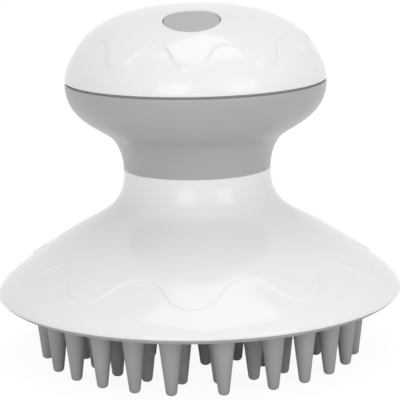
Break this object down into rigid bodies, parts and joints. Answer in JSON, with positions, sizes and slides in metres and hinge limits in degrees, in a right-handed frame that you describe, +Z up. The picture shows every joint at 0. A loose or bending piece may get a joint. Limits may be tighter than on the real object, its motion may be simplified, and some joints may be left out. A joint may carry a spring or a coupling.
{
  "type": "electric scalp massager",
  "caption": "Hand-held vibrating scalp massager: a domed palm cap with a push button on a waisted handle, over a flared skirt with soft prongs underneath.",
  "frame": {"origin": "bottom centre: on the axis of the object, on the surface that the prong tips stand on", "axes": "+Z up along the axis, -Y to the front (the side that the button leans to), +Y to the charging port"},
  "size_m": [0.104, 0.104, 0.09],
  "materials": {
    "white_shell": "smooth satin gloss",
    "grey_shell": "fine satin",
    "button_plastic": "fine satin",
    "seam_rubber": "matt",
    "soft_prongs": "silicone, soft sheen",
    "port_silicone": "silicone, soft sheen",
    "seal_rubber": "matt",
    "inner_plastic": "matt",
    "white_inner": "matt",
    "circuit_board": "satin solder mask",
    "switch_plastic": "matt",
    "plated_steel": "bright",
    "brass": "turned",
    "lead_insulation": "smooth",
    "cell_sleeve": "smooth"
  },
  "bodies": {
    "housing": {"cap": "white_shell", "tact_switch": "plated_steel", "switch_board": "circuit_board", "switch_screws": "plated_steel", "switch_leads": "lead_insulation", "cap_gasket": "seam_rubber", "handle_shell": "grey_shell", "charging_socket": "plated_steel", "charge_board": "circuit_board", "charge_leads": "lead_insulation", "battery": "cell_sleeve", "battery_leads": "lead_insulation", "battery_tray": "inner_plastic", "tray_screws": "plated_steel", "main_board": "circuit_board", "board_screws": "plated_steel", "motor": "plated_steel", "motor_leads": "lead_insulation", "motor_bush": "seal_rubber", "motor_cup": "white_inner", "neck_seal": "seal_rubber", "neck_screws": "plated_steel", "skirt": "white_shell", "base_plate": "white_inner", "base_seal": "seal_rubber", "base_screws": "plated_steel", "bristle_pad": "soft_prongs"},
    "push_button": {"button": "button_plastic", "button_seal": "seal_rubber"},
    "plunger": {"switch_plunger": "switch_plastic"},
    "rotor": {"motor_shaft": "plated_steel", "eccentric_weight": "brass"},
    "port_cover": {"port_plug": "port_silicone"}
  },
  "joints": [
    {"name": "button_press", "type": "slide", "parent": "housing", "child": "push_button", "axis": [0, 0.2756, -0.9613], "range_m": [0, 0.0004], "stiffness_N_per_m": 400, "springref_m": -0.001},
    {"name": "plunger_press", "type": "slide", "parent": "housing", "child": "plunger", "axis": [0, 0.2756, -0.9613], "range_m": [0, 0.0004]},
    {"name": "motor_spin", "type": "hinge", "parent": "housing", "child": "rotor", "pos_m": [0, 0, 0.04], "axis": [0, 0, 1], "continuous": true},
    {"name": "port_cover_swing", "type": "hinge", "parent": "housing", "child": "port_cover", "pos_m": [0, 0.0303, 0.0639], "axis": [-1, 0, 0], "range_deg": [0, 110]}
  ],
  "couplings": [
    {"joint": "plunger_press", "follows": "button_press", "ratio": 1}
  ]
}
